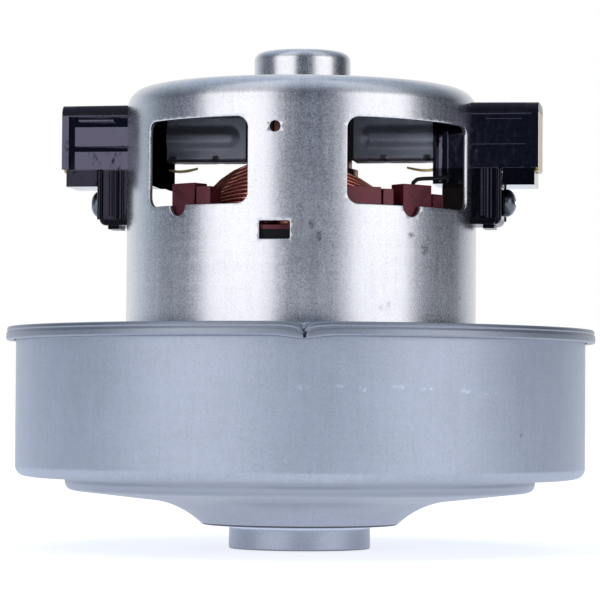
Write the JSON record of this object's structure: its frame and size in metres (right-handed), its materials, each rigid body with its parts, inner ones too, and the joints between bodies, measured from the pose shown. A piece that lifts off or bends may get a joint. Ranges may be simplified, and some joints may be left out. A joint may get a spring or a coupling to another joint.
{
  "type": "vacuum cleaner motor",
  "caption": "Vacuum cleaner motor unit: a drawn steel can with air windows and side brush holders, over a fan stage in a pressed cover with a flared inlet.",
  "frame": {"origin": "on the shaft axis, at the open end of the inlet collar", "axes": "+Z along the shaft from the inlet to the bearing cup; X through the brush holders; -Y is the front"},
  "size_m": [0.135, 0.135, 0.114],
  "materials": {
    "can_steel": "galvanised, brushed",
    "cover_steel": "galvanised, matt",
    "seal_plastic": "moulded",
    "diffuser_plastic": "moulded",
    "bracket_steel": "galvanised",
    "lamination": "stacked sheet",
    "former_plastic": "moulded",
    "copper_wire": "enamelled wire",
    "lead_cover": "sleeved wire",
    "holder_plastic": "moulded, glossy",
    "tube_steel": "folded sheet",
    "brass": "pressed sheet",
    "spring_steel": "drawn wire",
    "carbon": "pressed carbon",
    "screw_steel": "plated",
    "sleeve_rubber": "moulded",
    "bearing_steel": "ground",
    "shaft_steel": "ground",
    "insulation": "pressed board",
    "commutator_resin": "moulded",
    "commutator_copper": "turned",
    "impeller_aluminium": "pressed sheet"
  },
  "bodies": {
    "frame": {"motor_housing": "can_steel", "fan_cover": "cover_steel", "inlet_seal_ring": "seal_plastic", "diffuser": "diffuser_plastic", "bearing_bracket": "bracket_steel", "field_core": "lamination", "coil_former_front": "former_plastic", "coil_former_rear": "former_plastic", "field_coil_core_front": "copper_wire", "field_coil_core_rear": "copper_wire", "field_coil_front": "copper_wire", "field_coil_rear": "copper_wire", "field_leads": "lead_cover", "brush_holder_left": "holder_plastic", "brush_holder_right": "holder_plastic", "brush_tube_left": "tube_steel", "brush_tube_right": "tube_steel", "brush_terminal_left": "brass", "brush_terminal_right": "brass", "terminal_blade_left": "brass", "terminal_blade_right": "brass", "brush_spring_left": "spring_steel", "brush_spring_right": "spring_steel", "holder_screws": "screw_steel", "upper_bearing_sleeve": "sleeve_rubber", "preload_washer": "spring_steel", "upper_bearing_outer": "bearing_steel", "upper_bearing_shields": "bearing_steel", "lower_bearing_outer": "bearing_steel", "lower_bearing_shields": "bearing_steel"},
    "rotor": {"shaft": "shaft_steel", "armature_core": "lamination", "armature_end_discs": "insulation", "armature_winding": "copper_wire", "slot_wedges": "insulation", "commutator_hub": "commutator_resin", "commutator_bars": "commutator_copper", "upper_spacer": "shaft_steel", "lower_spacer": "shaft_steel", "upper_bearing_inner": "bearing_steel", "lower_bearing_inner": "bearing_steel", "impeller_back_disc": "impeller_aluminium", "impeller_blades": "impeller_aluminium", "impeller_front_disc": "impeller_aluminium", "clamp_washer": "shaft_steel", "shaft_nut": "shaft_steel"},
    "upper_ball_set": {"upper_bearing_balls": "bearing_steel", "upper_bearing_cage": "bearing_steel"},
    "lower_ball_set": {"lower_bearing_balls": "bearing_steel", "lower_bearing_cage": "bearing_steel"},
    "left_brush": {"carbon_brush_left": "carbon"},
    "right_brush": {"carbon_brush_right": "carbon"}
  },
  "joints": [
    {"name": "rotor_spin", "type": "hinge", "parent": "frame", "child": "rotor", "pos_m": [0, 0, 0.06], "axis": [0, 0, 1], "continuous": true},
    {"name": "upper_balls_spin", "type": "hinge", "parent": "frame", "child": "upper_ball_set", "pos_m": [0, 0, 0.1087], "axis": [0, 0, 1], "continuous": true},
    {"name": "lower_balls_spin", "type": "hinge", "parent": "frame", "child": "lower_ball_set", "pos_m": [0, 0, 0.0407], "axis": [0, 0, 1], "continuous": true},
    {"name": "left_brush_slide", "type": "slide", "parent": "frame", "child": "left_brush", "axis": [-1, 0, 0], "range_m": [0, 0.01], "stiffness_N_per_m": 200, "springref_m": -0.015, "deforming": ["brush_spring_left"]},
    {"name": "right_brush_slide", "type": "slide", "parent": "frame", "child": "right_brush", "axis": [1, 0, 0], "range_m": [0, 0.01], "stiffness_N_per_m": 200, "springref_m": -0.015, "deforming": ["brush_spring_right"]}
  ],
  "couplings": [
    {"joint": "upper_balls_spin", "follows": "rotor_spin", "ratio": 0.3654},
    {"joint": "lower_balls_spin", "follows": "rotor_spin", "ratio": 0.3667}
  ]
}
